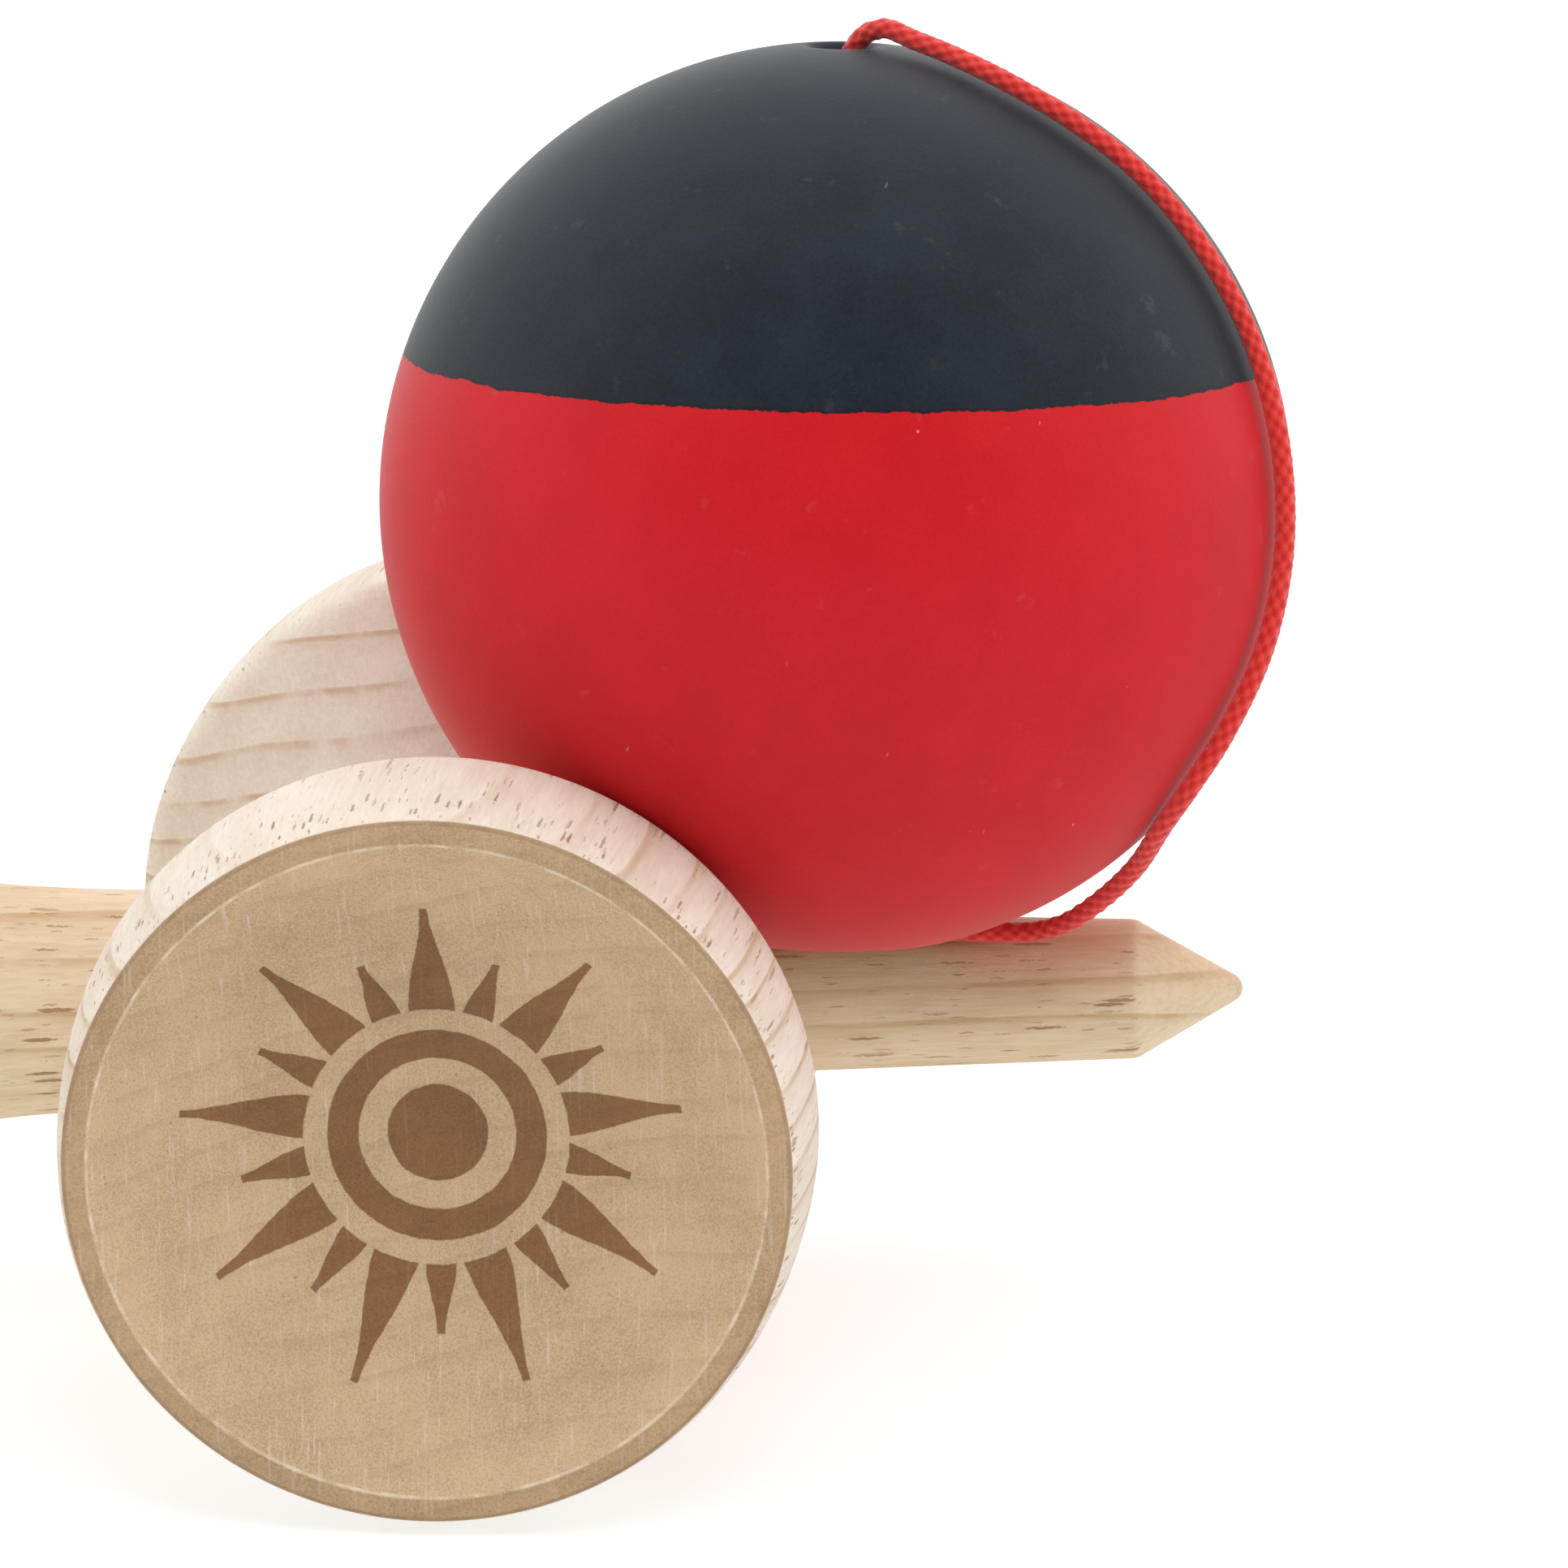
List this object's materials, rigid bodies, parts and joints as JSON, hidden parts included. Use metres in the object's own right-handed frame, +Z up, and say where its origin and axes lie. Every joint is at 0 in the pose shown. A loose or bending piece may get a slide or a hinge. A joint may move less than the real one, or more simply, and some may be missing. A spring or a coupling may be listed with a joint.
{
  "type": "kendama",
  "caption": "Wooden cup-and-ball skill toy: a turned handle with spike and base cup, a cross piece with a cup at each end, and a bored ball tied on by a string.",
  "frame": {"origin": "on the surface it lies on, under the middle of the box around the ken, the sarado and the ball", "axes": "+X along the ken from the base cup to the spike, +Y along the cross piece from the big cup to the small cup, +Z up"},
  "size_m": [0.1696, 0.0718, 0.0921],
  "materials": {
    "ken_wood": "bare fine-sanded beech",
    "sarado_wood": "bare fine-sanded pale beech",
    "ball_paint": "wooden ball in matte rubbery paint, dark crown over red",
    "bead": "smooth",
    "string": "braided polyester"
  },
  "bodies": {
    "ken": {"ken": "ken_wood"},
    "sarado": {"sarado": "sarado_wood", "sarado_knot": "string", "string_tail": "string", "string_coil": "string", "string_lower": "string"},
    "string_end": {"bead": "bead", "bead_knot": "string", "string_upper": "string"},
    "tama": {"tama": "ball_paint"}
  },
  "joints": [
    {"name": "sarado_pull_off", "type": "slide", "parent": "ken", "child": "sarado", "axis": [0.9994, 0, 0.0337], "range_m": [0, 0.065]},
    {"name": "ball_lift", "type": "slide", "parent": "sarado", "child": "string_end", "axis": [0, 0, 1], "range_m": [0, 0.08]},
    {"name": "ball_spin", "type": "hinge", "parent": "string_end", "child": "tama", "pos_m": [0.0547, -0.0002, 0.06035], "axis": [0, 0.1132, 0.9936], "continuous": true}
  ]
}
